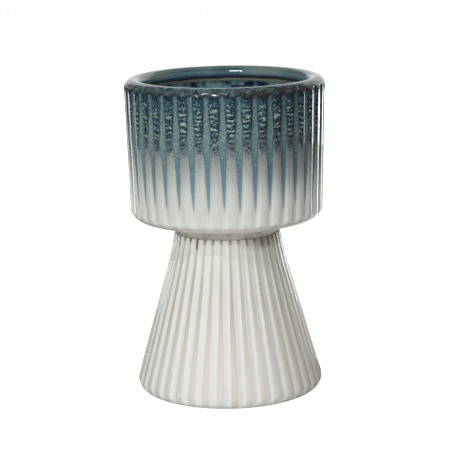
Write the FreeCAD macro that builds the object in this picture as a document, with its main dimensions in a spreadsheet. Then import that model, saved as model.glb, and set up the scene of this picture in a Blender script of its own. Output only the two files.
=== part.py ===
import FreeCAD, Part
import math
import os
import Sketcher

# Fluted ceramic flower pot: a bowl with a rolled lip on a flared pedestal, joined by a clay collar.
# Millimetres, +Z up. The origin is the centre of the foot, on the surface that the pot stands on.

doc = FreeCAD.newDocument("FlowerPot")

sizes = doc.addObject("Spreadsheet::Sheet", "Sizes")
DRIVING_SIZES = {
    # bowl, outside
    "rim_diameter": 145.0,
    "bowl_taper": 2.3,
    "bowl_height": 102.5,
    "bowl_bottom_round": 9.4,
    "lip_outer_round": 7.0,
    # bowl, inside
    "lip_width": 12.7,
    "lip_depth": 8.4,
    "lip_under_rise": 4.0,
    "bowl_wall": 6.7,
    "bowl_floor": 8.0,
    "hollow_bottom_bevel": 5.0,
    # collar between bowl and pedestal, set in from the ridges of the neck
    "collar_inset": 1.3,
    "collar_height": 10.0,
    # pedestal, outside
    "pedestal_height": 117.5,
    "foot_diameter": 136.0,
    "foot_round": 8.5,
    "neck_diameter": 77.8,
    "neck_rise": 24.2,
    "neck_flare": 5.3,
    # pedestal, inside
    "neck_wall": 7.9,
    "foot_ring_width": 4.0,
    # flutes
    "flute_count": 40,
    "ridge_share": 0.62,
    "bowl_flute_depth": 1.1,
    "foot_flute_depth": 1.1,
    "underside_depth_share": 0.4,
    # how many straight steps each rounded end and the flared cone take
    "bottom_steps": 2,
    "foot_steps": 2,
    "head_steps": 2,
    "flare_steps": 3,
    "lip_outer_steps": 3,
    "lip_inner_steps": 2,
    # how far every cut runs past the clay
    "cut_overrun": 5.0,
}
for row, (alias, value) in enumerate(DRIVING_SIZES.items(), start=1):
    sizes.set(f"A{row}", alias)
    sizes.set(f"B{row}", str(value))
    sizes.setAlias(f"B{row}", alias)
doc.recompute()

# Sizes that several pieces share, worked out from the sheet.
RIM = "(Sizes.rim_diameter / 2)"
CROWN = f"({RIM} - Sizes.lip_outer_round)"
NECK = "(Sizes.neck_diameter / 2)"
BORE = f"({NECK} - Sizes.neck_wall)"
ZERO = "0"


def size(alias):
    return float(getattr(sizes, alias))


def value_of(expression):
    result = sizes.evalExpression(expression)
    return float(getattr(result, "Value", result))


def origin_plane(body, role):
    for feature in body.Origin.OriginFeatures:
        if feature.Role == role:
            return feature


def bind(sketch, constraint, name, expression):
    index = sketch.addConstraint(constraint)
    sketch.renameConstraint(index, name)
    sketch.setExpression("Constraints." + name, expression)


def turned_body(name, corners):
    """A body turned about Z from a closed profile on the XZ plane; a corner is its radius and height.

    In the constraints -1 is the sketch's origin or its level axis, and -2 its upright axis.
    """
    body = doc.addObject("PartDesign::Body", name)
    sketch = body.newObject("Sketcher::SketchObject", name + "Profile")
    sketch.AttachmentSupport = [(origin_plane(body, "XZ_Plane"), "")]
    sketch.MapMode = "FlatFace"
    places = [(value_of(radius), value_of(height)) for radius, height in corners]
    for number, (across, up) in enumerate(places):
        following = places[(number + 1) % len(places)]
        sketch.addGeometry(Part.LineSegment(FreeCAD.Vector(across, up), FreeCAD.Vector(*following)))
    for number, (radius, height) in enumerate(corners):
        following = (number + 1) % len(corners)
        across, up = places[number]
        sketch.addConstraint(Sketcher.Constraint("Coincident", number, 2, following, 1))
        if radius == ZERO:
            sketch.addConstraint(Sketcher.Constraint("PointOnObject", number, 1, -2))
        else:
            from_axis = Sketcher.Constraint("DistanceX", -1, 1, number, 1, across)
            bind(sketch, from_axis, f"radius_{number}", radius)
        if height == ZERO:
            sketch.addConstraint(Sketcher.Constraint("PointOnObject", number, 1, -1))
        else:
            from_base = Sketcher.Constraint("DistanceY", -1, 1, number, 1, up)
            bind(sketch, from_base, f"height_{number}", height)
    doc.recompute()
    turn = body.newObject("PartDesign::Revolution", name + "Turned")
    turn.Profile = sketch
    turn.ReferenceAxis = (sketch, ["V_Axis"])
    turn.Angle = 360
    body.Tip = turn
    doc.recompute()
    return body


def fluted_outline(name, ridge_radius, depth, height):
    """A closed outline of convex ridges with a narrower flat-floored flute between each two.

    Without depth it is a circle, in as many pieces.
    """
    count = int(size("flute_count"))
    half_pitch = math.pi / count
    foot_angle = half_pitch * size("ridge_share")
    floor_radius = ridge_radius - depth

    def at(radius, angle):
        return FreeCAD.Vector(radius * math.cos(angle), radius * math.sin(angle), height)

    edges = []
    for ridge in range(count):
        # A flute faces -Y, so the ridges stand half a pitch from it.
        crest = -math.pi / 2 + (2 * ridge + 1) * half_pitch
        ridge_start = at(floor_radius, crest - foot_angle)
        ridge_end = at(floor_radius, crest + foot_angle)
        next_start = at(floor_radius, crest + 2 * half_pitch - foot_angle)
        edges.append(Part.Arc(ridge_start, at(ridge_radius, crest), ridge_end).toShape())
        if depth:
            edges.append(Part.LineSegment(ridge_end, next_start).toShape())
        else:
            edges.append(Part.Arc(ridge_end, at(floor_radius, crest + half_pitch), next_start).toShape())
    outline = doc.addObject("Part::Feature", name)
    outline.Shape = Part.Wire(edges)
    return outline


def fluted_loft(name, stations):
    """A solid through fluted outlines, each station giving ridge radius, flute depth and height."""
    loft = doc.addObject("Part::Loft", name)
    loft.Sections = [fluted_outline(f"{name}Outline{number}", *station)
                     for number, station in enumerate(stations)]
    loft.Solid = True
    loft.Ruled = True
    return loft


def rounded_bottom(edge_radius, depth, bend, steps):
    """Stations up a rounded bottom edge, from the flat underside to where the flutes are full depth."""
    stations = [(edge_radius - bend, depth * size("underside_depth_share"), 0)]
    for step in range(1, steps + 1):
        angle = math.pi / 2 * (1 - step / steps)
        radius = edge_radius - bend * (1 - math.cos(angle))
        stations.append((radius, depth * math.cos(angle), bend * (1 - math.sin(angle))))
    return stations


def lip_profile(round_size, start_angle, steps, outward):
    """Corners over one side of the lip's crown, from its side at start_angle up to its top."""
    sign = "+" if outward else "-"
    corners = []
    for step in range(steps + 1):
        angle = f"({start_angle} + (90 deg - {start_angle}) * {step} / {steps})"
        corners.append((f"{CROWN} {sign} {round_size} * cos({angle})",
                        f"Sizes.bowl_height - {round_size} * (1 - sin({angle}))"))
    return corners


def make_bowl():
    """The fluted cup: flutes from a loft, the smooth rolled lip turned on top, the hollow cut out."""
    rim_radius = value_of(RIM)
    height = size("bowl_height")
    depth = size("bowl_flute_depth")
    lip_round = size("lip_outer_round")
    stations = rounded_bottom(rim_radius - size("bowl_taper"), depth, size("bowl_bottom_round"),
                              int(size("bottom_steps")))
    # The flutes run out where the lip's round has come in by their depth.
    head_steps = int(size("head_steps"))
    head_angle = math.acos(1 - depth / lip_round)
    for step in range(head_steps):
        angle = head_angle * step / head_steps
        inward = lip_round * (1 - math.cos(angle))
        stations.append((rim_radius - inward, depth - inward, height - lip_round * (1 - math.sin(angle))))
    stations.append((rim_radius - depth, 0, height - lip_round * (1 - math.sin(head_angle))))
    fluted = fluted_loft("BowlFluted", stations)

    outer_crown = lip_profile("Sizes.lip_outer_round",
                              "acos(1 - Sizes.bowl_flute_depth / Sizes.lip_outer_round)",
                              int(size("lip_outer_steps")), True)
    head_height = outer_crown[0][1]
    lip = turned_body("BowlLip", [(ZERO, head_height), *outer_crown, (ZERO, "Sizes.bowl_height")])
    blank = doc.addObject("Part::Fuse", "BowlBlank")
    blank.Base = fluted
    blank.Tool = lip

    inner_crown = lip_profile("(Sizes.lip_width - Sizes.lip_outer_round)", "0 deg",
                              int(size("lip_inner_steps")), False)
    hollow_side = f"{RIM} - Sizes.bowl_taper - Sizes.bowl_wall"
    lip_under = "Sizes.bowl_height - Sizes.lip_depth"
    above = "Sizes.bowl_height + Sizes.cut_overrun"
    hollow = turned_body("BowlHollow", [
        (ZERO, "Sizes.bowl_floor"),
        (f"{hollow_side} - Sizes.hollow_bottom_bevel", "Sizes.bowl_floor"),
        (hollow_side, "Sizes.bowl_floor + Sizes.hollow_bottom_bevel"),
        (hollow_side, f"{lip_under} - Sizes.lip_under_rise"),
        (f"{RIM} - Sizes.lip_width", lip_under),
        *inner_crown,
        (CROWN, above),
        (ZERO, above),
    ])
    bowl = doc.addObject("Part::Cut", "Bowl")
    bowl.Base = blank
    bowl.Tool = hollow
    bowl.Label = "bowl"
    bowl.setExpression("Placement.Base.z", "Sizes.pedestal_height + Sizes.collar_height")
    return bowl


def make_collar():
    """The clay ring between pedestal and bowl."""
    collar = doc.addObject("PartDesign::Body", "NeckCollar")
    sketch = collar.newObject("Sketcher::SketchObject", "NeckCollarRing")
    sketch.AttachmentSupport = [(origin_plane(collar, "XY_Plane"), "")]
    sketch.MapMode = "FlatFace"
    centre = FreeCAD.Vector(0, 0, 0)
    upward = FreeCAD.Vector(0, 0, 1)
    for name, expression in (("outside", f"{NECK} - Sizes.collar_inset"), ("bore", BORE)):
        circle = sketch.addGeometry(Part.Circle(centre, upward, value_of(expression)))
        sketch.addConstraint(Sketcher.Constraint("Coincident", circle, 3, -1, 1))
        bind(sketch, Sketcher.Constraint("Radius", circle, value_of(expression)), name, expression)
    doc.recompute()
    ring = collar.newObject("PartDesign::Pad", "NeckCollarPad")
    ring.Profile = sketch
    ring.setExpression("Length", "Sizes.collar_height")
    collar.Tip = ring
    collar.Label = "neck_collar"
    collar.setExpression("Placement.Base.z", "Sizes.pedestal_height")
    return collar


def make_pedestal():
    """The flared foot: a hollow fluted cone, a little steeper between its waist and its neck."""
    foot_radius = size("foot_diameter") / 2
    neck_radius = value_of(NECK)
    waist_radius = neck_radius + size("neck_flare")
    foot_round = size("foot_round")
    flare_rise = size("pedestal_height") - size("neck_rise") - foot_round
    # The flutes shrink towards the neck as the radius does.
    depth_share = size("foot_flute_depth") / foot_radius
    stations = rounded_bottom(foot_radius, size("foot_flute_depth"), foot_round, int(size("foot_steps")))
    flare_steps = int(size("flare_steps"))
    for step in range(1, flare_steps + 1):
        radius = foot_radius + (waist_radius - foot_radius) * step / flare_steps
        stations.append((radius, radius * depth_share, foot_round + flare_rise * step / flare_steps))
    stations.append((neck_radius, neck_radius * depth_share, size("pedestal_height")))
    fluted = fluted_loft("PedestalFluted", stations)

    ring_inside = "Sizes.foot_diameter / 2 - Sizes.foot_round - Sizes.foot_ring_width"
    above = "Sizes.pedestal_height + Sizes.cut_overrun"
    hollow = turned_body("PedestalHollow", [
        (ZERO, "-Sizes.cut_overrun"),
        (ring_inside, "-Sizes.cut_overrun"),
        (ring_inside, ZERO),
        (BORE, "Sizes.pedestal_height - Sizes.neck_rise"),
        (BORE, above),
        (ZERO, above),
    ])
    pedestal = doc.addObject("Part::Cut", "Pedestal")
    pedestal.Base = fluted
    pedestal.Tool = hollow
    pedestal.Label = "pedestal"
    return pedestal


parts = [make_bowl(), make_collar(), make_pedestal()]
doc.recompute()

for item in doc.Objects:
    if "Invalid" in item.State or "Error" in item.State:
        raise RuntimeError(f"{item.Name} failed: {item.State}")
for part in parts:
    if part.Shape.isNull() or not part.Shape.isValid():
        raise RuntimeError(f"{part.Label} has no valid shape")

os.makedirs("parts", exist_ok=True)
for part in parts:
    part.Shape.exportStep(f"parts/{part.Label}.step")
    box = part.Shape.BoundBox
    print(part.Label, "solids", len(part.Shape.Solids), "faces", len(part.Shape.Faces),
          "volume", round(part.Shape.Volume), "z", round(box.ZMin, 3), round(box.ZMax, 3))
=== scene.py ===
import math

import bpy
import numpy as np
from mathutils import Matrix, Vector


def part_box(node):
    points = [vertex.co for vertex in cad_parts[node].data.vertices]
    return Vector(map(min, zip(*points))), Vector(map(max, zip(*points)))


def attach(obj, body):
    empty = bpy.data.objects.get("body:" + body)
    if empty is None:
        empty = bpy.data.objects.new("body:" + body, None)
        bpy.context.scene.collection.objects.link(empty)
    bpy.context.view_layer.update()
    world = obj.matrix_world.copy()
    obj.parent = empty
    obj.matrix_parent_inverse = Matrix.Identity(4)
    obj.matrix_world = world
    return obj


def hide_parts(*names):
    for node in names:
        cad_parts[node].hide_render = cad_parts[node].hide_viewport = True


# The pot's looks: its fluted surfaces in full detail and its reactive glaze. Metres, +Z up, as the CAD.

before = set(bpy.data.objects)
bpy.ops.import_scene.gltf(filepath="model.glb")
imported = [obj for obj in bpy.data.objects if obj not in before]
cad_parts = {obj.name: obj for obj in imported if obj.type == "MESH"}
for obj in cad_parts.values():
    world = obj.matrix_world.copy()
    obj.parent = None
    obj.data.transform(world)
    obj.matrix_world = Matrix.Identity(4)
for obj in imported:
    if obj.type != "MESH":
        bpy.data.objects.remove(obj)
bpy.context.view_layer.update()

MM = 0.001
bowl_low, bowl_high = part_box("bowl")
collar_low, collar_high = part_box("neck_collar")
pedestal_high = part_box("pedestal")[1]

# Flutes: how many, how deep, and the ridge's share of the pitch
FLUTES = 40
PITCH = 2 * math.pi / FLUTES
BOWL_DEPTH = 1.2 * MM
FOOT_DEPTH = 1.15 * MM
RIDGE_SHARE = 0.60
EDGE_BLEND = 0.45 * MM

# How far the crests stay inside the solids' box
INSIDE_BOX = 0.02 * MM

# Bowl; the lip's lower inner edge is rounded over LIP_EDGE_TURN degrees
RIM_RADIUS = bowl_high.x / math.cos(PITCH / 2) - INSIDE_BOX
RIM_TOP = bowl_high.z
BOWL_BASE = bowl_low.z
BOWL_TAPER = 2.3 * MM
BOTTOM_ROUND = 9.4 * MM
LIP_ROUND = 7.0 * MM
LIP_WIDTH = 12.7 * MM
LIP_DEPTH = 8.4 * MM
LIP_UNDER_RISE = 4.0 * MM
LIP_EDGE_ROUND = 1.1 * MM
LIP_EDGE_TURN = 70
CROWN = RIM_RADIUS - LIP_ROUND
BOWL_WALL = 6.7 * MM
BOWL_FLOOR = 8.0 * MM
HOLLOW_ROUND = 7.0 * MM

# Pedestal
NECK_RADIUS = 38.85 * MM
NECK_WALL = 7.9 * MM
NECK_RISE = 24.2 * MM
NECK_FLARE = 5.3 * MM
SHOULDER_ROUND = 1.6 * MM
FOOT_RADIUS = pedestal_high.x / math.cos(PITCH / 2) - INSIDE_BOX
FOOT_ROUND = 8.5 * MM
FOOT_RING = 4.0 * MM
COLLAR_INSET = 1.3 * MM

# Mesh fineness: steps round the pot, and along straight, flat, round and sharply round stretches
AROUND = FLUTES * 20
WALL_STEP = 2.4 * MM
FLOOR_STEP = 2 * WALL_STEP
ROUND_STEP = 0.45 * MM
SHARP_STEP = ROUND_STEP / 2

# The camera: degrees to the right and up, roll in degrees, distance, the height it looks at, and its lens
CAMERA_AZIMUTH = 1.3
CAMERA_ELEVATION = 11.97
CAMERA_ROLL = 1.15
CAMERA_DISTANCE = 1.305
LOOK_AT_HEIGHT = 0.1171
SENSOR_WIDTH = 36
FOCAL_LENGTH = 139.7
LENS_SHIFT = 0.0058
CLIP_START = 0.05
CLIP_END = 50

# The white backdrop: degrees that it is turned from straight behind, that half of it spans and that it
# reaches up, its soft edge, and the level of the studio in front of it
BACKDROP_TURN = 13
BACKDROP_HALF = 37
BACKDROP_TOP = 36
BACKDROP_BLEND = 0.04
STUDIO_DIM = 0.16

# The floor: its colour, its colour in reflections, and its glow
FLOOR_HALF = 6.0
FLOOR_WHITE = 0.8
FLOOR_DIM = 0.18
FLOOR_GLOW = 0.85
FLOOR_ROUGHNESS = 0.9

# Lamps round the pot's middle: azimuth and elevation in degrees, azimuth from the front and positive to
# the picture's right, distance, width and height, power, and whether the glaze mirrors them
POT_MIDDLE = Vector((0, 0, 0.15))
LAMPS = {
    "key": (-17.5, 42, 1.6, (0.42, 0.25), 9.0, True),
    "soft_front": (-19, 12, 1.5, (1.6, 1.0), 10.6, False),
    "fill_right": (42, 10, 1.5, (1.2, 1.0), 2.3, False),
    "soft_back": (180, 12, 1.6, (1.6, 1.0), 7.0, False),
    "overhead": (0, 88, 1.5, (1.2, 1.2), 2.5, False),
    "strip_right": (143, -7, 0.62, (0.09, 0.13), 0.20, True),
    "strip_left": (-138, -7, 0.62, (0.06, 0.13), 0.17, True),
    "glint_right": (134.5, -4.2, 0.62, (0.06, 0.055), 0.10, True),
}


def arc(centre, radius, start, end, step=ROUND_STEP):
    """Points on an arc of the profile, angles in degrees from outward, anticlockwise."""
    count = max(3, int(abs(math.radians(end - start)) * radius / step))
    angles = np.radians(np.linspace(start, end, count + 1))
    return [(centre[0] + radius * math.cos(a), centre[1] + radius * math.sin(a)) for a in angles]


def straight(start, end, step=WALL_STEP):
    """Points on a straight stretch of the profile, without its ends."""
    count = max(1, int(math.dist(start, end) / step))
    shares = np.linspace(0, 1, count + 1)[1:-1]
    return [(start[0] + (end[0] - start[0]) * t, start[1] + (end[1] - start[1]) * t) for t in shares]


def flute_shape(angle):
    """How much of the flute's depth is cut at each angle: 1 in a flute, 0 on a ridge's crest."""
    phase = np.abs((angle / PITCH + 0.5) % 1 - 0.5)
    joint = (1 - RIDGE_SHARE) / 2
    flute = 1 - (1 - RIDGE_SHARE) * (phase / joint) ** 2
    ridge = RIDGE_SHARE * ((0.5 - phase) / (0.5 - joint)) ** 2
    return np.where(phase < joint, flute, ridge)


def smooth_min(first, second, blend):
    """The lesser of two values, with the corner between them rounded as glaze rounds it."""
    share = np.clip(0.5 + 0.5 * (second - first) / blend, 0, 1)
    return second + (first - second) * share - blend * share * (1 - share)


ANGLES = np.arange(AROUND) * 2 * math.pi / AROUND
SHAPE = flute_shape(ANGLES)


def fluted_ring(envelope, wall, depth, height):
    """A ring where the fluted wall is cut back by a smooth envelope."""
    return smooth_min(np.full(AROUND, envelope), wall - depth * SHAPE, EDGE_BLEND), height


def round_rings(profile):
    """Plain round rings at each radius and height of a profile."""
    return [(np.full(AROUND, radius), height) for radius, height in profile]


def grid_mesh(name, rings):
    """A closed turned mesh. Each ring is its radii round the axis, or None at a pole, and its height."""
    sines, cosines = np.sin(ANGLES), -np.cos(ANGLES)
    points, loops = [], []
    for radii, height in rings:
        first = sum(len(block) for block in points)
        if radii is None:
            points.append(np.array([[0, 0, height]]))
            loops.append(np.array([first]))
            continue
        block = np.column_stack([radii * sines, radii * cosines, np.broadcast_to(height, AROUND)])
        points.append(block)
        loops.append(first + np.arange(AROUND))
    faces = []
    for lower, upper in zip(loops, loops[1:]):
        if len(lower) == 1:
            # The ring is taken backward here, so that the faces look down
            backward = upper[::-1]
            faces += [(lower[0], a, b) for a, b in zip(np.roll(backward, 1), backward)]
        elif len(upper) == 1:
            faces += [(a, b, upper[0]) for a, b in zip(lower, np.roll(lower, -1))]
        else:
            faces += list(zip(lower, np.roll(lower, -1), np.roll(upper, -1), upper))
    mesh = bpy.data.meshes.new(name)
    mesh.from_pydata(np.concatenate(points).tolist(), [], [tuple(int(i) for i in face) for face in faces])
    mesh.validate()
    mesh.shade_smooth()
    piece = bpy.data.objects.new(name, mesh)
    bpy.context.scene.collection.objects.link(piece)
    return piece


def make_bowl():
    """The fluted cup with its rolled lip, turned-under lip edge and hollow."""
    low_radius = RIM_RADIUS - BOWL_TAPER
    wall_foot = BOWL_BASE + BOTTOM_ROUND
    wall_head = RIM_TOP - LIP_ROUND
    bottom_flat = low_radius - BOTTOM_ROUND
    outside = straight((0, BOWL_BASE), (bottom_flat, BOWL_BASE), FLOOR_STEP)
    outside += arc((bottom_flat, wall_foot), BOTTOM_ROUND, -90, 0)
    outside += straight((low_radius, wall_foot), (RIM_RADIUS, wall_head))
    outside += arc((CROWN, wall_head), LIP_ROUND, 0, 90)
    rings = [(None, BOWL_BASE)]
    for envelope, height in outside:
        climb = (height - wall_foot) / (wall_head - wall_foot)
        wall = low_radius + BOWL_TAPER * min(max(climb, 0), 1)
        rings.append(fluted_ring(envelope, wall, BOWL_DEPTH, height))

    mouth = RIM_RADIUS - LIP_WIDTH
    inner_round = LIP_WIDTH - LIP_ROUND
    lip_shoulder = RIM_TOP - inner_round
    lip_edge = RIM_TOP - LIP_DEPTH + LIP_EDGE_ROUND
    side = low_radius - BOWL_WALL
    under_lip = (side, RIM_TOP - LIP_DEPTH - LIP_UNDER_RISE)
    floor = BOWL_BASE + BOWL_FLOOR
    hollow = arc((CROWN, lip_shoulder), inner_round, 90, 180)
    hollow += straight((mouth, lip_shoulder), (mouth, lip_edge), ROUND_STEP)
    hollow += arc((mouth + LIP_EDGE_ROUND, lip_edge), LIP_EDGE_ROUND, 180, 180 + LIP_EDGE_TURN, SHARP_STEP)
    hollow += straight(hollow[-1], under_lip, ROUND_STEP)
    hollow += straight(under_lip, (side, floor + HOLLOW_ROUND))
    hollow += arc((side - HOLLOW_ROUND, floor + HOLLOW_ROUND), HOLLOW_ROUND, 0, -90)
    hollow += straight((side - HOLLOW_ROUND, floor), (0, floor), FLOOR_STEP)
    rings += round_rings(hollow[1:])
    rings.append((None, floor))
    return grid_mesh("bowl_glazed", rings)


def make_collar():
    """The smooth ring of clay between the pedestal and the bowl."""
    radius = NECK_RADIUS - COLLAR_INSET
    bore = NECK_RADIUS - NECK_WALL
    base, top = collar_low.z, collar_high.z
    corners = [(bore, base), (radius, base), (radius, top), (bore, top)]
    profile = []
    for start, end in zip(corners, corners[1:] + corners[:1]):
        profile += straight(start, end) + [end]
    rings = round_rings(profile)
    rings.append(rings[0])
    return grid_mesh("neck_collar_glazed", rings)


def make_pedestal():
    """The hollow fluted cone on its rounded foot."""
    top = pedestal_high.z
    shoulder = top - SHOULDER_ROUND
    waist_height = top - NECK_RISE
    waist_radius = NECK_RADIUS + NECK_FLARE
    flare = (FOOT_RADIUS - waist_radius) / (waist_height - FOOT_ROUND)
    end_slope = 2 * NECK_FLARE / NECK_RISE - flare

    def wall_at(height):
        above = height - waist_height
        if above <= 0:
            return waist_radius - flare * above
        t = above / NECK_RISE
        return waist_radius - NECK_RISE * (flare * t + (end_slope - flare) * t * t / 2)

    foot_flat = wall_at(FOOT_ROUND) - FOOT_ROUND
    top_flat = wall_at(shoulder) - SHOULDER_ROUND
    outside = arc((foot_flat, FOOT_ROUND), FOOT_ROUND, -90, 0)
    outside += [(wall_at(h), h) for h in np.arange(FOOT_ROUND, shoulder, WALL_STEP)[1:]]
    outside += arc((top_flat, shoulder), SHOULDER_ROUND, 0, 90, SHARP_STEP)
    rings = []
    for envelope, height in outside:
        wall = wall_at(min(max(height, FOOT_ROUND), shoulder))
        rings.append(fluted_ring(envelope, wall, FOOT_DEPTH * wall / FOOT_RADIUS, height))

    bore = NECK_RADIUS - NECK_WALL
    ring_inside = FOOT_RADIUS - FOOT_ROUND - FOOT_RING
    inside = straight((top_flat, top), (bore, top))
    inside += [(bore, top)] + straight((bore, top), (bore, waist_height)) + [(bore, waist_height)]
    inside += straight((bore, waist_height), (ring_inside, 0)) + [(ring_inside, 0)]
    inside += straight((ring_inside, 0), outside[0])
    rings += round_rings(inside)
    rings.append(rings[0])
    return grid_mesh("pedestal_glazed", rings)


class Nodes:
    """Short ways to wire a node tree. A value is a number, a colour or another node's socket."""

    def __init__(self, tree):
        self.tree = tree

    def new(self, kind):
        return self.tree.nodes.new(kind)

    def link(self, value, socket):
        """Connects another node's socket, or sets a number or colour; None leaves the socket as it is."""
        if isinstance(value, bpy.types.NodeSocket):
            self.tree.links.new(value, socket)
        elif value is not None:
            socket.default_value = value

    def math(self, operation, first, second=None, clamp=False):
        node = self.new("ShaderNodeMath")
        node.operation = operation
        node.use_clamp = clamp
        for socket, value in zip(node.inputs, (first, second)):
            self.link(value, socket)
        return node.outputs[0]

    def add(self, first, *others):
        for other in others:
            first = self.math("ADD", first, other)
        return first

    def times(self, first, *others):
        for other in others:
            first = self.math("MULTIPLY", first, other)
        return first

    def minus(self, first, second):
        return self.math("SUBTRACT", first, second)

    def over(self, first, second):
        return self.math("DIVIDE", first, second)

    def vector_math(self, operation, first, second=None, output="Vector"):
        node = self.new("ShaderNodeVectorMath")
        node.operation = operation
        for socket, value in zip(node.inputs, (first, second)):
            self.link(value, socket)
        return node.outputs[output]

    def vector(self, x, y, z):
        node = self.new("ShaderNodeCombineXYZ")
        for socket, value in zip(node.inputs, (x, y, z)):
            self.link(value, socket)
        return node.outputs[0]

    def split(self, vector):
        node = self.new("ShaderNodeSeparateXYZ")
        self.link(vector, node.inputs[0])
        return node.outputs

    def smooth(self, value, low, high, out_low=0.0, out_high=1.0):
        """0 below low and 1 above high, smooth between; low may be above high."""
        node = self.new("ShaderNodeMapRange")
        node.interpolation_type = "SMOOTHSTEP"
        for socket, setting in zip(node.inputs[:5], (value, low, high, out_low, out_high)):
            self.link(setting, socket)
        return node.outputs[0]

    def band(self, value, low, rise, fall, high):
        """1 between rise and fall, 0 below low and above high."""
        return self.times(self.smooth(value, low, rise), self.smooth(value, high, fall))

    def mix(self, share, first, second, blend="MIX"):
        node = self.new("ShaderNodeMix")
        node.data_type = "RGBA"
        node.blend_type = blend
        node.clamp_factor = True
        for socket, value in zip((node.inputs[0], node.inputs[6], node.inputs[7]), (share, first, second)):
            self.link(value, socket)
        return node.outputs[2]


class Shader(Nodes):
    """A new material, and what its glaze is drawn with."""

    def __init__(self, name):
        self.material = bpy.data.materials.new(name)
        self.material.use_nodes = True
        super().__init__(self.material.node_tree)
        self.bsdf = self.tree.nodes["Principled BSDF"]

    def noise(self, place, scale, detail, roughness, distortion=0.0):
        node = self.new("ShaderNodeTexNoise")
        self.link(place, node.inputs["Vector"])
        for socket, value in (("Scale", scale), ("Detail", detail), ("Roughness", roughness),
                              ("Distortion", distortion)):
            node.inputs[socket].default_value = value
        return node.outputs["Fac"]

    def wall_noise(self, at, across, up, seed, detail, roughness):
        """A noise stretched on the wall, seamless round it: its cells across each turn and up each mm."""
        reach = across / PITCH
        climb = self.add(self.times(at["height"], up), SEED_SPACING * seed)
        place = self.vector(self.times(at["sine"], reach), self.times(at["cosine"], reach), climb)
        return self.noise(place, 1.0, detail, roughness)

    def cells(self, place, scale):
        """The distance to the nearest of many scattered points, and a random colour for each point."""
        node = self.new("ShaderNodeTexVoronoi")
        self.link(place, node.inputs["Vector"])
        node.inputs["Scale"].default_value = scale
        return node.outputs["Distance"], node.outputs["Color"]

    def chance(self, value, seed):
        """A steady random number from 0 to 1 for each whole value."""
        node = self.new("ShaderNodeTexWhiteNoise")
        node.noise_dimensions = "2D"
        self.link(self.vector(value, seed, 0.0), node.inputs["Vector"])
        return node.outputs["Value"]

    def ramp(self, height, stretch, stops):
        """A colour by height: stretch is two heights in mm, and each stop a share of it and a colour."""
        low, high = stretch
        node = self.new("ShaderNodeValToRGB")
        self.link(self.over(self.minus(height, low), high - low), node.inputs[0])
        elements = node.color_ramp.elements
        while len(elements) < len(stops):
            elements.new(0.5)
        for element, (share, colour) in zip(elements, stops):
            element.position = share
            element.color = colour
        return node.outputs[0]

    def bump(self, height, distance):
        node = self.new("ShaderNodeBump")
        node.inputs["Distance"].default_value = distance
        node.inputs["Strength"].default_value = 1.0
        self.link(height, node.inputs["Height"])
        return node.outputs[0]


def rgb(red, green, blue):
    """A shader colour from how it looks on a screen, each part from 0 to 255."""
    parts = [c / 255 for c in (red, green, blue)]
    return tuple(c / 12.92 if c <= 0.04045 else ((c + 0.055) / 1.055) ** 2.4 for c in parts) + (1.0,)


def grey(level):
    return (level, level, level, 1.0)


# How strongly every glaze refracts, and each glaze's finish: its roughness and the height of its waves
GLAZE_IOR = 1.65
BOWL_FINISH = (0.05, 0.02 * MM)
PEDESTAL_FINISH = (0.10, 0.12 * MM)
COLLAR_FINISH = (0.2, 0.15 * MM)

# Noises through the clay: cells per metre, detail, roughness, and for one its distortion
GRAIN = (1400.0, 3.0, 0.6)
CLOUDS = (90.0, 2.0, 0.5)
WAVES = (240.0, 0.0, 0.5)
DARK_FLECKS = (950.0, 2.0, 0.7)
CRYSTAL_TONE = (480.0, 2.0, 0.6)
SPECKLE = (1150.0, 2.0, 0.7)
POOL_FLECKS = (760.0, 2.0, 0.6)
LIP_MOTTLE = (210.0, 4.0, 0.7, 0.4)
LIP_FLECKS = (900.0, 2.0, 0.6)
LIP_PATCHES = (190.0, 3.0, 0.7)
HEAD_WOBBLE = (420.0, 2.0, 0.6)
HEAD_BLOTCHES = (330.0, 3.0, 0.7)
HEAD_LUMPS = (480.0, 1.0, 0.5)
INNER_STAINS = (85.0, 3.0, 0.6)
INNER_FLECKS = (700.0, 2.0, 0.6)
COLLAR_CLOUDS = (120.0, 3.0, 0.6)
SPECK_CELLS = 55.0

# Noises stretched on the wall: cells across each turn and up each mm, seed, detail and roughness
RAGGED_FLOW = (2.2, 0.12, 0.0, 3.0, 0.6)
FRAYED_FLOW = (6.0, 0.45, 12.0, 3.0, 0.6)
CRYSTAL_WARP = (1.9, 0.20, 7.0, 3.0, 0.6)
CRYSTAL_PATCHES = (3.4, 0.55, 1.0, 3.0, 0.6)
DARK_CLOUDS = (2.6, 0.36, 3.0, 3.0, 0.65)
CLOTS = (5.0, 0.5, 9.0, 3.0, 0.65)
PALE_STREAKS = (9.0, 0.02, 4.0, 2.0, 0.5)
POOL_EDGES = (6.0, 0.30, 2.0, 3.0, 0.6)
INNER_EDGE_WAVES = (0.45, 0.0, 5.0, 3.0, 0.6)
INNER_PALE_CLOUDS = (0.22, 0.0, 8.0, 1.0, 0.5)
STRIPE_DRIFT = (1.3, 0.035, 0.0, 2.0, 0.5)
SEED_SPACING = 37.0

# Colours of the bowl's ridges
STEEL_BLUE = rgb(62, 92, 112)
CREAM = rgb(204, 205, 199)
OLIVE_GREY = rgb(150, 148, 132)
UNDERSIDE_CREAM = rgb(206, 205, 194)
STREAK_WHITE = rgb(219, 220, 214)
NAVY = rgb(23, 51, 68)
BLUE_BLACK = rgb(12, 29, 40)
CLOUD_BLUE = rgb(42, 84, 106)
FLECK_BLUE = rgb(92, 130, 144)
FLECK_BLACK = rgb(10, 22, 30)
CLOT_BLACK = rgb(10, 18, 25)
CRYSTAL = rgb(180, 184, 168)
CRYSTAL_GREEN = rgb(118, 142, 138)
CRYSTAL_RIM = rgb(78, 110, 120)
SPECKLE_DARK = rgb(70, 86, 92)
SPECKLE_PALE = rgb(180, 182, 172)

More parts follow.
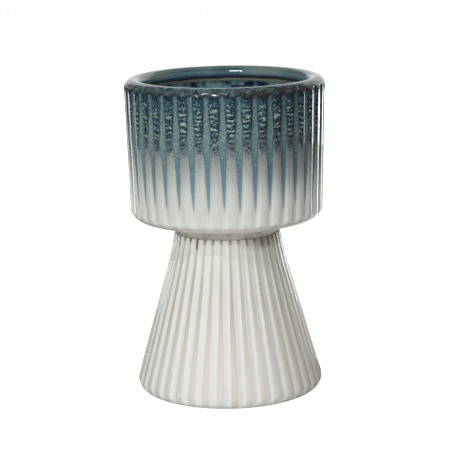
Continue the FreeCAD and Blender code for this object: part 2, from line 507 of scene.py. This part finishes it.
# Colours of the pools and drips in the bowl's flutes
POOL_LIGHT = rgb(142, 154, 132)
POOL_DEEP = rgb(56, 92, 106)
POOL_TINT = (0.88, 1.0, 1.0, 1.0)
PALE_TEAL = rgb(138, 160, 156)
FRINGE_BLUE = rgb(52, 88, 108)
WASH_WHITE = rgb(218, 221, 216)
# Painted shade for the bowl's right side
BOWL_RIGHT_SHADE = rgb(204, 205, 205)

# Colours of the lip and the inside
LIP_DARK = rgb(24, 44, 56)
LIP_LIGHT = rgb(80, 110, 116)
LIP_FLECK = rgb(132, 148, 140)
HEAD_BROWN = rgb(80, 66, 32)
HEAD_DARK = rgb(16, 32, 42)
PATCH_BROWN = rgb(34, 30, 26)
EMBER_BROWN = rgb(104, 76, 54)
BLACK_BROWN = rgb(30, 24, 18)
INNER_FLECK = rgb(34, 56, 74)
INNER_PALE = rgb(126, 148, 142)
INNER_TEAL = rgb(122, 152, 156)
INNER_BLUE = rgb(74, 112, 132)
STAIN_BLUE = rgb(26, 42, 62)
UNDER_LIP_OLIVE = rgb(160, 162, 142)

# Colours of the pedestal and the collar
WHITE_GLAZE = rgb(229, 231, 226)
# Painted light on the upper neck, away from the right side
LIT_WHITE = rgb(252, 252, 246)
LIT_BEIGE = rgb(250, 246, 238)
SAND = rgb(214, 190, 162)
SPECK_WHITE = rgb(250, 250, 244)
# Painted shade, darker and warmer, on the pedestal's right side
RIGHT_SHADE_TINT = (0.92, 0.90, 0.86, 1.0)
SPOT_BROWN = rgb(92, 60, 28)
# Painted shadow under the neck's edge, partly the glaze's own olive brown
NECK_SHADE = rgb(112, 102, 78)
COLLAR_PALE = rgb(206, 203, 190)
COLLAR_OLIVE = rgb(178, 174, 158)

# Colours by height: two heights in mm, then each stop as a share of the stretch between them
RIDGE_STRETCH = (128.0, 230.0)
RIDGE_STOPS = [
    (0.00, OLIVE_GREY), (0.05, rgb(212, 213, 207)), (0.11, CREAM), (0.20, CREAM),
    (0.30, rgb(191, 194, 188)), (0.37, rgb(173, 176, 170)), (0.44, rgb(158, 162, 156)),
    (0.52, rgb(138, 144, 141)), (0.58, rgb(108, 120, 122)), (1.0, STEEL_BLUE)]
DRIP_STRETCH = (140.0, 230.0)
DRIP_STOPS = [
    (0.0, rgb(150, 172, 176)), (0.12, rgb(122, 148, 156)), (0.22, rgb(106, 136, 146)),
    (0.36, rgb(96, 129, 138)), (0.50, rgb(98, 128, 132)), (0.62, rgb(107, 135, 134)),
    (0.80, rgb(94, 122, 120)), (0.90, rgb(78, 106, 108)), (1.0, STEEL_BLUE)]
INNER_LIP_STRETCH = (220.0, 230.0)
# The dark stop at 0.76 is a painted reflection: a thin dark line just under the crown
INNER_LIP_STOPS = [
    (0.0, BLACK_BROWN), (0.20, rgb(58, 48, 38)), (0.30, rgb(30, 54, 82)), (0.44, rgb(68, 106, 124)),
    (0.66, rgb(84, 116, 126)), (0.76, rgb(44, 64, 74)), (0.86, rgb(92, 116, 120)), (1.0, rgb(90, 112, 114))]
PEDESTAL_STRETCH = (0.0, 118.0)
# Both pedestal ramps are lighter at share 0, by the foot: painted light from the floor
BEIGE_STOPS = [
    (0.0, rgb(228, 225, 220)), (0.06, rgb(217, 213, 208)), (0.25, rgb(216, 211, 206)),
    (0.42, rgb(208, 199, 189)), (0.58, rgb(194, 185, 172)), (0.72, rgb(187, 178, 166)),
    (0.85, rgb(190, 185, 175)), (0.95, rgb(202, 193, 179)), (1.0, rgb(184, 168, 144))]
WHITE_STOPS = [
    (0.0, rgb(240, 242, 238)), (0.06, WHITE_GLAZE), (0.45, WHITE_GLAZE), (0.75, rgb(224, 227, 221)),
    (1.0, rgb(224, 226, 219))]

# Heights in mm on the bowl between which a part of the glaze begins, is full, starts to fade and is gone
CRYSTAL_ZONE = (187.0, 194.0, 212.0, 223.0)
CLOT_ZONE = (183.0, 188.0, 198.0, 207.0)
SPECKLE_ZONE = (152.0, 168.0, 192.0, 202.0)
PALE_SPECKLE_ZONE = (160.0, 174.0, 190.0, 200.0)
LEANING_ZONE = (178.0, 187.0, 192.0, 200.0)
LIP_PATCH_ZONE = (220.5, 224.0, 228.0, 229.6)
INNER_PALE_ZONE = (222.5, 225.0, 229.0, 231.0)

# Two heights in mm between which a part of the bowl's colour comes in: upward in FROM, downward in UNDER
DARK_FROM = (188.5, 194.0)
LIP_FROM = (223.5, 226.5)
# Painted highlight along the lip's crown
CREST_FROM = (228.0, 229.5)
INNER_LIP_FROM = (220.4, 221.4)
OLIVE_FROM = (218.0, 219.8)
# Painted shade on the bowl's right side comes in upward here
BOWL_SHADE_FROM = (145.0, 172.0)
POOL_TINT_FROM = (150.0, 168.0)
POOL_FRINGE_FROM = (156.0, 176.0)
POOL_FLECKS_FROM = (158.0, 184.0)
POOL_RAGGED_FROM = (162.0, 182.0)
POOL_WIDE_FROM = (168.0, 196.0)
POOL_NARROW_FROM = (192.0, 220.0)
POOL_HALO_UNDER = (196.0, 178.0)
SPECKLE_THIN_UNDER = (196.0, 160.0)
STREAKS_UNDER = (178.0, 158.0)
UNDERSIDE_UNDER = (133.0, 129.0)

# The same on the pedestal
# Painted light on the upper neck comes in upward here
LIT_FROM = (99.0, 109.0)
WARM_UNDER = (100.0, 80.0)
STRIPES_WIDE_UNDER = (100.0, 10.0)
SHADE_FROM = 110.0

# Places in mm over the line of the flutes' heads, and in mm outward from the lip's crown
BROWN_AT_HEAD = (-1.2, -0.3, 0.4, 1.3)
DARK_AT_HEAD = (-3.4, -1.6, 0.6, 2.2)
LUMPS_AT_HEAD = (-1.6, -0.4, 0.8, 2.0)
# Painted highlight along the lip's crown
CREST_OVER_LIP = (-2.2, -0.6, 0.4, 2.0)

# Places over a ridge, from 0 in the flute on its left to 1 in the flute on its right
CRYSTALS_ACROSS = (0.16, 0.30, 0.62, 0.78)
BOW_CENTRE = 0.47
# Painted shade on each ridge's right side, turned from the light
SHADED_RIDGE_SIDE = (0.56, 0.68, 0.74, 0.84)
STRIPE_CENTRE = 0.425

# Places past the edge of a pool, in flutes
FRINGE_PAST_POOL = (-0.07, -0.01, 0.01, 0.06)

# Places round the pot, counted in flutes from the front to the right
LIP_PATCHES_ROUND = (0.6, 2.6, 6.5, 8.5)
# Painted shade on the bowl's right side
BOWL_SHADE_ROUND = (0.0, 5.0, 9.0, 13.0)
SHADED_ROUND = (0.0, 5.0, 8.0, 12.0)
# Painted shade on the pedestal's right side
PEDESTAL_SHADE_ROUND = (3.0, 5.5, 8.0, 12.0)


def pot_coordinates(shader):
    """Where a point is on the pot: height and radius in mm, and turns round it, counted in flutes.

    turns is 0 at the front and grows to the right. signed runs from -0.5 to 0.5 across each flute, and
    phase is its size. across runs from 0 to 1 over each ridge. flute and ridge are their numbers.
    """
    place = shader.new("ShaderNodeTexCoord").outputs["Object"]
    x, y, z = shader.split(place)
    angle = shader.math("ARCTAN2", x, shader.times(y, -1.0))
    turns = shader.over(angle, PITCH)
    nearest = shader.math("FLOOR", shader.add(turns, 0.5))
    signed = shader.minus(turns, nearest)
    ridge = shader.math("FLOOR", turns)
    radius = shader.math("SQRT", shader.add(shader.times(x, x), shader.times(y, y)))
    return {
        "place": place,
        "height": shader.over(z, MM),
        "radius": shader.over(radius, MM),
        "turns": turns,
        "sine": shader.math("SINE", angle),
        "cosine": shader.math("COSINE", angle),
        "signed": signed,
        "phase": shader.math("ABSOLUTE", signed),
        "across": shader.minus(turns, ridge),
        "flute": shader.math("FLOORED_MODULO", nearest, float(FLUTES)),
        "ridge": ridge,
    }


def finish_glaze(shader, colour, at, finish, lumps=0.0):
    """The glossy clear layer: slight waves and lumps, and fine unevenness of colour."""
    roughness, waviness = finish
    grain_depth, cloud_depth, darkest = 0.16, 0.06, 0.89
    grain = shader.noise(at["place"], *GRAIN)
    clouds = shader.noise(at["place"], *CLOUDS)
    level = shader.add(shader.times(grain, grain_depth), shader.times(clouds, cloud_depth), darkest)
    shade = shader.new("ShaderNodeVectorMath")
    shade.operation = "SCALE"
    shader.link(colour, shade.inputs[0])
    shader.link(level, shade.inputs["Scale"])
    shader.link(shade.outputs[0], shader.bsdf.inputs["Base Color"])
    shader.bsdf.inputs["Roughness"].default_value = roughness
    shader.bsdf.inputs["IOR"].default_value = GLAZE_IOR
    waves = shader.add(shader.noise(at["place"], *WAVES), lumps)
    shader.link(shader.bump(waves, waviness), shader.bsdf.inputs["Normal"])


def flute_cut(shader, phase, depth):
    """The flute's depth in mm by phase, as the mesh has it."""
    joint = (1 - RIDGE_SHARE) / 2
    into_flute = shader.math("POWER", shader.over(phase, joint), 2.0)
    flute = shader.minus(1.0, shader.times(into_flute, 1 - RIDGE_SHARE))
    into_ridge = shader.math("POWER", shader.over(shader.minus(0.5, phase), 0.5 - joint), 2.0)
    ridge = shader.times(into_ridge, RIDGE_SHARE)
    in_flute = shader.math("LESS_THAN", phase, joint)
    share = shader.add(shader.times(flute, in_flute), shader.times(ridge, shader.minus(1.0, in_flute)))
    return shader.times(share, depth / MM)


def crystal_rows(shader, at, flow):
    """Cream crystals on the dark ridges: short wavy rows, stacked down each ridge."""
    spacing_least, spacing_spread = 2.8, 1.2
    warp_reach, bow_reach, bow_middle = 2.2, 9.0, 0.4
    warp = shader.minus(shader.wall_noise(at, *CRYSTAL_WARP), 0.5)
    spacing = shader.add(spacing_least, shader.times(shader.chance(at["ridge"], seed=2.0), spacing_spread))
    rows = shader.add(shader.over(at["height"], spacing), shader.times(warp, warp_reach))
    off_centre = shader.minus(at["across"], BOW_CENTRE)
    bend = shader.times(shader.minus(shader.chance(at["ridge"], seed=5.0), bow_middle), bow_reach)
    bow = shader.times(shader.times(off_centre, off_centre), bend)
    wave = shader.math("SINE", shader.times(shader.add(rows, bow), 2 * math.pi))
    row = shader.smooth(wave, -0.20, 0.60)
    patch = shader.smooth(shader.wall_noise(at, *CRYSTAL_PATCHES), 0.38, 0.56)
    middle = shader.band(at["across"], *CRYSTALS_ACROSS)
    return shader.times(row, patch, middle, shader.band(flow, *CRYSTAL_ZONE))


def dark_glaze(shader, at):
    """The dark blue glaze, bluer in clouds and flecked, with painted shade that makes each ridge's right side
    almost black.
    """
    cloud = shader.wall_noise(at, *DARK_CLOUDS)
    dark = shader.mix(shader.smooth(cloud, 0.40, 0.62), NAVY, BLUE_BLACK)
    dark = shader.mix(shader.smooth(cloud, 0.44, 0.30), dark, CLOUD_BLUE)
    flecks = shader.noise(at["place"], *DARK_FLECKS)
    dark = shader.mix(shader.smooth(flecks, 0.50, 0.62, 0.0, 0.9), dark, FLECK_BLUE)
    dark = shader.mix(shader.smooth(flecks, 0.47, 0.34, 0.0, 0.75), dark, FLECK_BLACK)
    # Painted shade: each ridge's right side, turned from the light, goes almost black
    return shader.mix(shader.times(shader.band(at["across"], *SHADED_RIDGE_SIDE), 0.45), dark, BLUE_BLACK)


def add_crystals(shader, at, flow, colour):
    """The rows of crystals, each with a bluish rim."""
    crystals = crystal_rows(shader, at, flow)
    colour = shader.mix(shader.smooth(crystals, 0.05, 0.40, 0.0, 0.6), colour, CRYSTAL_RIM)
    tone = shader.noise(at["place"], *CRYSTAL_TONE)
    crystal = shader.mix(shader.smooth(tone, 0.40, 0.62), CRYSTAL, CRYSTAL_GREEN)
    return shader.mix(shader.smooth(crystals, 0.30, 0.85, 0.0, 0.9), colour, crystal)


def add_speckle(shader, at, flow, colour):
    """Dark speckle where the blue breaks up, thinner further down, and pale speckle between."""
    fine = shader.noise(at["place"], *SPECKLE)
    limit = shader.smooth(flow, *SPECKLE_THIN_UNDER, 0.44, 0.74)
    speck = shader.smooth(shader.minus(fine, limit), 0.0, 0.08)
    speck = shader.times(speck, shader.band(flow, *SPECKLE_ZONE))
    colour = shader.mix(shader.times(speck, 0.7), colour, SPECKLE_DARK)
    pale = shader.times(shader.smooth(fine, 0.44, 0.32), shader.band(flow, *PALE_SPECKLE_ZONE))
    return shader.mix(shader.times(pale, 0.3), colour, SPECKLE_PALE)


def ridge_colour(shader, at, flow):
    """Down a ridge: navy with crystals, speckled grey, then cream with pale streaks."""
    colour = shader.ramp(at["height"], RIDGE_STRETCH, RIDGE_STOPS)
    streaks = shader.smooth(shader.wall_noise(at, *PALE_STREAKS), 0.42, 0.70, 0.0, 0.5)
    streaks = shader.times(streaks, shader.smooth(at["height"], *STREAKS_UNDER, 0.25, 1.0))
    colour = shader.mix(streaks, colour, STREAK_WHITE)
    colour = shader.mix(shader.smooth(flow, *DARK_FROM), colour, dark_glaze(shader, at))
    clot = shader.smooth(shader.wall_noise(at, *CLOTS), 0.45, 0.53)
    clot = shader.times(clot, shader.band(flow, *CLOT_ZONE))
    colour = shader.mix(shader.times(clot, 0.9), colour, CLOT_BLACK)
    return add_speckle(shader, at, flow, add_crystals(shader, at, flow, colour))


def pool_edge(shader, at, run):
    """How far a point is past the edge of its flute's pool or drip, in flutes; below 0 it is in it."""
    height = at["height"]
    taper_length, taper_width, pool_width, head_narrowing = 22.0, 0.13, 0.11, 0.12
    aside, leaning = 0.01, 0.05
    taper = shader.math("POWER", shader.math("DIVIDE", run, taper_length, clamp=True), 0.55)
    width = shader.times(taper, taper_width)
    width = shader.add(width, shader.smooth(height, *POOL_WIDE_FROM, 0.0, pool_width))
    width = shader.minus(width, shader.smooth(height, *POOL_NARROW_FROM, 0.0, head_narrowing))
    off_centre = shader.add(aside, shader.times(shader.band(height, *LEANING_ZONE), leaning))
    reach = shader.math("ABSOLUTE", shader.add(at["signed"], off_centre))
    ragged = shader.smooth(height, *POOL_RAGGED_FROM, 0.05, 0.16)
    edge = shader.minus(shader.wall_noise(at, *POOL_EDGES), 0.5)
    return shader.minus(shader.add(reach, shader.times(edge, ragged)), width)


def drip_colour(shader, at):
    """The teal of the pools and the blue of their drips, with light and deep flecks."""
    colour = shader.ramp(at["height"], DRIP_STRETCH, DRIP_STOPS)
    fleck = shader.noise(at["place"], *POOL_FLECKS)
    flecked = shader.smooth(at["height"], *POOL_FLECKS_FROM, 0.15, 1.0)
    light = shader.times(shader.smooth(fleck, 0.50, 0.66, 0.0, 0.65), flecked)
    deep = shader.times(shader.smooth(fleck, 0.50, 0.34, 0.0, 0.70), flecked)
    return shader.mix(deep, shader.mix(light, colour, POOL_LIGHT), POOL_DEEP)


def add_pools(shader, at, ridge):
    """Teal pools in the flutes, each running down to a blue drip of its own length, and painted shade over
    the bowl's right side.
    """
    height = at["height"]
    highest_tip, tip_spread = 145.5, 5.0
    tip = shader.minus(highest_tip, shader.times(shader.chance(at["flute"], seed=1.0), tip_spread))
    run = shader.minus(height, tip)
    past = pool_edge(shader, at, run)
    tint = shader.times(shader.smooth(past, 0.24, 0.02), shader.smooth(height, *POOL_TINT_FROM))
    colour = shader.mix(shader.times(tint, 0.8), ridge, POOL_TINT, "MULTIPLY")
    halo = shader.times(shader.smooth(past, 0.11, 0.0), shader.smooth(height, *POOL_HALO_UNDER))
    colour = shader.mix(shader.times(halo, 0.4), colour, PALE_TEAL)
    colour = shader.mix(shader.smooth(past, 0.035, -0.035), colour, drip_colour(shader, at))
    fringe = shader.times(shader.band(past, *FRINGE_PAST_POOL), shader.smooth(height, *POOL_FRINGE_FROM))
    colour = shader.mix(shader.times(fringe, 0.5), colour, FRINGE_BLUE)
    wash = shader.times(shader.smooth(at["phase"], 0.34, 0.04), shader.smooth(run, 6.0, -8.0))
    colour = shader.mix(shader.times(wash, 0.8), colour, WASH_WHITE)
    # Painted shade: the bowl's right side, away from the light, is darkened
    right_shade = shader.times(shader.band(at["turns"], *BOWL_SHADE_ROUND), shader.smooth(height, *BOWL_SHADE_FROM))
    return shader.mix(shader.times(right_shade, 0.9), colour, BOWL_RIGHT_SHADE, "MULTIPLY")


def above_flute_head(shader, at):
    """The height in mm over the line where the flutes run out on the lip, a little unsteady."""
    lip_round = LIP_ROUND / MM
    unsteadiness = 1.6
    inward = shader.minus(lip_round, flute_cut(shader, at["phase"], BOWL_DEPTH))
    rise = shader.math("SQRT", shader.minus(lip_round ** 2, shader.times(inward, inward)))
    above_head = shader.minus(at["height"], shader.add(rise, (RIM_TOP - LIP_ROUND) / MM))
    wobble = shader.minus(shader.noise(at["place"], *HEAD_WOBBLE), 0.5)
    return shader.add(above_head, shader.times(wobble, unsteadiness))


def add_lip(shader, at, wall):
    """The mottled lip, and brown glaze that broke thin over the heads of the flutes."""
    mottle = shader.noise(at["place"], *LIP_MOTTLE)
    lip = shader.mix(shader.smooth(mottle, 0.36, 0.60), LIP_DARK, LIP_LIGHT)
    fleck = shader.noise(at["place"], *LIP_FLECKS)
    lip = shader.mix(shader.smooth(fleck, 0.50, 0.72, 0.0, 0.6), lip, LIP_FLECK)
    lip = shader.mix(shader.smooth(fleck, 0.48, 0.30, 0.0, 0.6), lip, BLUE_BLACK)
    colour = shader.mix(shader.smooth(at["height"], *LIP_FROM), wall, lip)

    # Brown over the heads of the flutes, and dark glaze round it
    above_head = above_flute_head(shader, at)
    near_flute = shader.smooth(at["phase"], 0.40, 0.20)
    brown = shader.times(shader.band(above_head, *BROWN_AT_HEAD), near_flute)
    thin = shader.add(0.5, shader.times(shader.chance(at["flute"], seed=11.0), 0.5))
    thin = shader.times(thin, shader.smooth(fleck, 0.36, 0.56, 0.45, 1.0))
    colour = shader.mix(shader.times(brown, thin), colour, HEAD_BROWN)
    blotch = shader.smooth(shader.noise(at["place"], *HEAD_BLOTCHES), 0.36, 0.54, 0.35, 0.95)
    dark = shader.times(shader.band(above_head, *DARK_AT_HEAD), blotch, shader.minus(1.0, brown))
    colour = shader.mix(dark, colour, HEAD_DARK)

    # Brown-black patches on the lip's right
    patch = shader.smooth(shader.noise(at["place"], *LIP_PATCHES), 0.40, 0.54)
    patch = shader.times(patch, shader.band(at["turns"], *LIP_PATCHES_ROUND),
                         shader.band(at["height"], *LIP_PATCH_ZONE))
    colour = shader.mix(shader.times(patch, 0.8), colour, PATCH_BROWN)
    ember = shader.times(patch, shader.smooth(fleck, 0.54, 0.66))
    return shader.mix(shader.times(ember, 0.6), colour, EMBER_BROWN)


def inside_colour(shader, at):
    """The lip's inner band with its dark, wavy lower edge, and blue stains on the wall below."""
    edge_waves = 2.4
    wobble = shader.minus(shader.wall_noise(at, *INNER_EDGE_WAVES), 0.5)
    height = shader.add(at["height"], shader.times(wobble, edge_waves))
    stain = shader.noise(at["place"], *INNER_STAINS)
    wall = shader.mix(shader.smooth(stain, 0.42, 0.60), INNER_TEAL, INNER_BLUE)
    wall = shader.mix(shader.smooth(stain, 0.53, 0.64), wall, STAIN_BLUE)
    wall = shader.mix(shader.smooth(height, *OLIVE_FROM), wall, UNDER_LIP_OLIVE)
    lip = shader.ramp(height, INNER_LIP_STRETCH, INNER_LIP_STOPS)
    fleck = shader.noise(at["place"], *INNER_FLECKS)
    lip = shader.mix(shader.smooth(fleck, 0.50, 0.34, 0.0, 0.5), lip, INNER_FLECK)
    pale = shader.smooth(shader.wall_noise(at, *INNER_PALE_CLOUDS), 0.42, 0.56)
    pale = shader.times(pale, shader.band(height, *INNER_PALE_ZONE))
    lip = shader.mix(shader.times(pale, 0.6), lip, INNER_PALE)
    return shader.mix(shader.smooth(height, *INNER_LIP_FROM), wall, lip)


def glaze_flow(shader, at):
    """The height in mm as the glaze has it: uneven round the pot, and lower in the flutes."""
    ragged_reach, frayed_reach, sag = 8.0, 9.0, -4.5
    ragged = shader.minus(shader.wall_noise(at, *RAGGED_FLOW), 0.5)
    frayed = shader.minus(shader.wall_noise(at, *FRAYED_FLOW), 0.5)
    flow = shader.add(at["height"], shader.times(ragged, ragged_reach), shader.times(frayed, frayed_reach))
    return shader.add(flow, shader.smooth(at["phase"], 0.20, 0.40, sag, 0.0))


def bowl_glaze():
    """Dark blue over the ridges at the top, teal pools in the flutes that run down as drips, cream below."""
    shader = Shader("bowl_glaze")
    at = pot_coordinates(shader)
    outside = add_pools(shader, at, ridge_colour(shader, at, glaze_flow(shader, at)))
    outside = add_lip(shader, at, outside)
    outside = shader.mix(shader.smooth(at["height"], *UNDERSIDE_UNDER), outside, UNDERSIDE_CREAM)

    just_under_floor = (BOWL_BASE + BOWL_FLOOR) / MM - 0.5
    above_floor = shader.math("GREATER_THAN", at["height"], just_under_floor)
    from_crown = shader.minus(at["radius"], CROWN / MM)
    within = shader.smooth(from_crown, 0.4, -0.4)
    colour = shader.mix(shader.times(within, above_floor), outside, inside_colour(shader, at))
    # Painted highlight: a pale band along the lip's crown
    crest = shader.times(shader.band(from_crown, *CREST_OVER_LIP), shader.smooth(at["height"], *CREST_FROM))
    colour = shader.mix(shader.times(crest, 0.55), colour, PALE_TEAL)

    # Glaze stands in lumps on the heads of the flutes, where it catches the light
    lump_height = 11.0
    lumps = shader.band(above_flute_head(shader, at), *LUMPS_AT_HEAD)
    lumps = shader.times(lumps, shader.noise(at["place"], *HEAD_LUMPS), shader.minus(1.0, within))
    finish_glaze(shader, colour, at, BOWL_FINISH, shader.times(lumps, lump_height))
    return shader.material


def add_pale_specks(shader, at, colour):
    """A few pale specks with sandy rims."""
    near, drawn = shader.cells(at["place"], SPECK_CELLS)
    chosen = shader.new("ShaderNodeSeparateColor")
    shader.link(drawn, chosen.inputs[0])
    few = shader.math("GREATER_THAN", chosen.outputs[0], 0.8)
    colour = shader.mix(shader.times(shader.smooth(near, 0.13, 0.05, 0.0, 0.5), few), colour, SAND)
    return shader.mix(shader.times(shader.smooth(near, 0.05, 0.025), few), colour, SPECK_WHITE)


def add_neck_spots(shader, at, from_crest, colour):
    """Brown spots on the ridges' tops, some running down."""
    longest_run = 7.0
    run_length = shader.times(shader.math("POWER", shader.chance(at["ridge"], seed=9.0), 4.0), longest_run)
    below_top = shader.minus(pedestal_high.z / MM, at["height"])
    spot = shader.smooth(shader.minus(below_top, run_length), 4.0, 1.0)
    spot = shader.times(spot, shader.smooth(from_crest, 0.26, 0.10))
    aside = shader.smooth(shader.math("ABSOLUTE", at["turns"]), 1.0, 5.0, 0.45, 0.75)
    return shader.mix(shader.times(spot, aside), colour, SPOT_BROWN)


def add_neck_shade(shader, at, to_right, colour):
    """Painted shadow under the neck's edge in olive, partly the glaze's own brown, which reaches lower and is
    deeper on the right.
    """
    lower_on_right, least, more_on_right = 5.0, 0.08, 0.66
    start = shader.minus(SHADE_FROM, shader.times(to_right, lower_on_right))
    shade = shader.smooth(at["height"], start, pedestal_high.z / MM)
    shade = shader.times(shade, shader.add(least, shader.times(to_right, more_on_right)))
    return shader.mix(shade, colour, NECK_SHADE)


def pedestal_glaze():
    """White where the glaze pools in the flutes, beige and sand on the ridges, brown at the neck's edge;
    painted light on the upper neck, and painted shade on the right side.
    """
    shader = Shader("pedestal_glaze")
    at = pot_coordinates(shader)
    height, turns = at["height"], at["turns"]
    drift_reach, narrowest, widest = 0.10, 0.155, 0.25
    drift = shader.minus(shader.wall_noise(at, *STRIPE_DRIFT), 0.5)
    width = shader.smooth(height, *STRIPES_WIDE_UNDER, narrowest, widest)
    from_crest = shader.math("ABSOLUTE", shader.minus(at["across"], STRIPE_CENTRE))
    from_crest = shader.add(from_crest, shader.times(drift, drift_reach))
    stripe = shader.smooth(shader.minus(from_crest, width), 0.05, -0.06)
    strength = shader.add(0.72, shader.times(shader.chance(at["ridge"], seed=4.0), 0.28))
    beige = shader.ramp(height, PEDESTAL_STRETCH, BEIGE_STOPS)
    white = shader.ramp(height, PEDESTAL_STRETCH, WHITE_STOPS)
    warm = shader.times(shader.smooth(drift, 0.0, 0.16), shader.smooth(height, *WARM_UNDER))
    beige = shader.mix(shader.times(warm, 0.3), beige, SAND)
    to_right = shader.band(turns, *SHADED_ROUND)
    # Painted light: the upper neck, away from the right side, is lightened against the bowl's shadow
    lit = shader.times(shader.smooth(height, *LIT_FROM), shader.minus(1.0, to_right))
    white = shader.mix(shader.times(lit, 0.85), white, LIT_WHITE)
    beige = shader.mix(shader.times(lit, 0.35), beige, LIT_BEIGE)
    colour = shader.mix(shader.times(stripe, strength), white, beige)
    # Painted shade: the pedestal's right side is darker and warmer
    colour = shader.mix(shader.band(turns, *PEDESTAL_SHADE_ROUND), colour, RIGHT_SHADE_TINT, "MULTIPLY")
    colour = add_pale_specks(shader, at, colour)
    colour = add_neck_spots(shader, at, from_crest, colour)
    colour = add_neck_shade(shader, at, to_right, colour)
    finish_glaze(shader, colour, at, PEDESTAL_FINISH)
    return shader.material


def collar_glaze():
    """Pale glaze with olive clouds."""
    shader = Shader("collar_glaze")
    at = pot_coordinates(shader)
    cloud = shader.noise(at["place"], *COLLAR_CLOUDS)
    colour = shader.mix(shader.smooth(cloud, 0.35, 0.65), COLLAR_PALE, COLLAR_OLIVE)
    finish_glaze(shader, colour, at, COLLAR_FINISH)
    return shader.material


def behind_pot(nodes, direction):
    """1 where a direction from the pot meets the white backdrop, 0 in the dim studio in front."""
    turn = math.radians(BACKDROP_TURN)
    edge = math.cos(math.radians(BACKDROP_HALF))
    level = nodes.vector_math("NORMALIZE", nodes.vector_math("MULTIPLY", direction, (1, 1, 0)))
    along = nodes.vector_math("DOT_PRODUCT", level, (math.sin(turn), math.cos(turn), 0), "Value")
    return nodes.smooth(along, edge - BACKDROP_BLEND, edge + BACKDROP_BLEND)


def backdrop_level(nodes, behind, dim):
    """1 to the camera, and behind the pot to the rays that show the backdrop in gloss and glass; else dim."""
    rays = nodes.new("ShaderNodeLightPath").outputs
    level = dim
    for ray, where in (("Is Camera Ray", 1.0), ("Is Glossy Ray", behind), ("Is Transmission Ray", behind)):
        level = nodes.math("MAXIMUM", nodes.times(rays[ray], where), level)
    return level


def floor_material():
    """White in the picture and in reflections, and it keeps the pot's soft shadow."""
    shader = Shader("pale_floor")
    shader.bsdf.inputs["Roughness"].default_value = FLOOR_ROUGHNESS
    shader.bsdf.inputs["Specular IOR Level"].default_value = 0.0
    shader.bsdf.inputs["Emission Color"].default_value = (1, 1, 1, 1)
    behind = behind_pot(shader, shader.new("ShaderNodeTexCoord").outputs["Object"])
    gloss = shader.new("ShaderNodeLightPath").outputs["Is Glossy Ray"]
    dimmed = shader.times(gloss, shader.minus(1.0, behind))
    shader.link(shader.mix(dimmed, grey(FLOOR_WHITE), grey(FLOOR_DIM)), shader.bsdf.inputs["Base Color"])
    glow = shader.times(backdrop_level(shader, behind, 0.0), FLOOR_GLOW)
    shader.link(glow, shader.bsdf.inputs["Emission Strength"])
    return shader.material


def make_floor():
    """A wide pale floor that the pot stands on."""
    mesh = bpy.data.meshes.new("floor")
    corners = [(-1, -1), (1, -1), (1, 1), (-1, 1)]
    mesh.from_pydata([(x * FLOOR_HALF, y * FLOOR_HALF, 0) for x, y in corners], [], [(0, 1, 2, 3)])
    floor = bpy.data.objects.new("floor", mesh)
    bpy.context.scene.collection.objects.link(floor)
    mesh.materials.append(floor_material())


def make_world():
    """White behind the pot and to the camera, a dim studio in front."""
    world = bpy.data.worlds.new("studio")
    bpy.context.scene.world = world
    world.use_nodes = True
    nodes = Nodes(world.node_tree)
    nodes.tree.nodes.clear()
    direction = nodes.new("ShaderNodeTexCoord").outputs["Generated"]
    edge = math.sin(math.radians(BACKDROP_TOP))
    upward = nodes.split(direction)[2]
    below_top = nodes.smooth(upward, edge - BACKDROP_BLEND, edge + BACKDROP_BLEND, 1.0, 0.0)
    backdrop = nodes.times(behind_pot(nodes, direction), below_top)
    background = nodes.new("ShaderNodeBackground")
    background.inputs["Color"].default_value = (1, 1, 1, 1)
    nodes.link(backdrop_level(nodes, backdrop, STUDIO_DIM), background.inputs["Strength"])
    nodes.link(background.outputs[0], nodes.new("ShaderNodeOutputWorld").inputs[0])


def make_lamp(name, azimuth, elevation, distance, size, power, mirrored):
    """A soft rectangular lamp that faces the pot's middle."""
    turn, tilt = math.radians(azimuth), math.radians(elevation)
    level = distance * math.cos(tilt)
    place = POT_MIDDLE + Vector((level * math.sin(turn), -level * math.cos(turn), distance * math.sin(tilt)))
    data = bpy.data.lights.new(name, "AREA")
    data.shape = "RECTANGLE"
    data.size, data.size_y = size
    data.energy = power
    lamp = bpy.data.objects.new(name, data)
    lamp.location = place
    lamp.rotation_euler = (POT_MIDDLE - place).to_track_quat("-Z", "Y").to_euler()
    lamp.visible_glossy = mirrored
    bpy.context.scene.collection.objects.link(lamp)


def make_camera():
    """The photograph's view: its height, distance, slight turn and roll."""
    turn, tilt = math.radians(CAMERA_AZIMUTH), math.radians(CAMERA_ELEVATION)
    back = Vector((math.sin(turn) * math.cos(tilt), -math.cos(turn) * math.cos(tilt), math.sin(tilt)))
    data = bpy.data.cameras.new("photo_camera")
    data.sensor_width = SENSOR_WIDTH
    data.lens = FOCAL_LENGTH
    data.shift_x = LENS_SHIFT
    data.clip_start = CLIP_START
    data.clip_end = CLIP_END
    camera = bpy.data.objects.new("photo_camera", data)
    camera.rotation_mode = "QUATERNION"
    camera.location = Vector((0, 0, LOOK_AT_HEIGHT)) + back * CAMERA_DISTANCE
    roll = Matrix.Rotation(-math.radians(CAMERA_ROLL), 3, "Z").to_quaternion()
    camera.rotation_quaternion = (-back).to_track_quat("-Z", "Y") @ roll
    bpy.context.scene.collection.objects.link(camera)
    bpy.context.scene.camera = camera


for make, glaze, node, slot in ((make_bowl, bowl_glaze, "bowl", "bowl_glaze"),
                                (make_collar, collar_glaze, "neck_collar", "collar_glaze"),
                                (make_pedestal, pedestal_glaze, "pedestal", "pedestal_glaze")):
    piece = make()
    piece.data.materials.append(glaze())
    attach(piece, "root")
    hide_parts(node)

make_floor()
make_world()
for lamp_name, settings in LAMPS.items():
    make_lamp(lamp_name, *settings)
make_camera()

bpy.context.scene.view_settings.view_transform = "Standard"
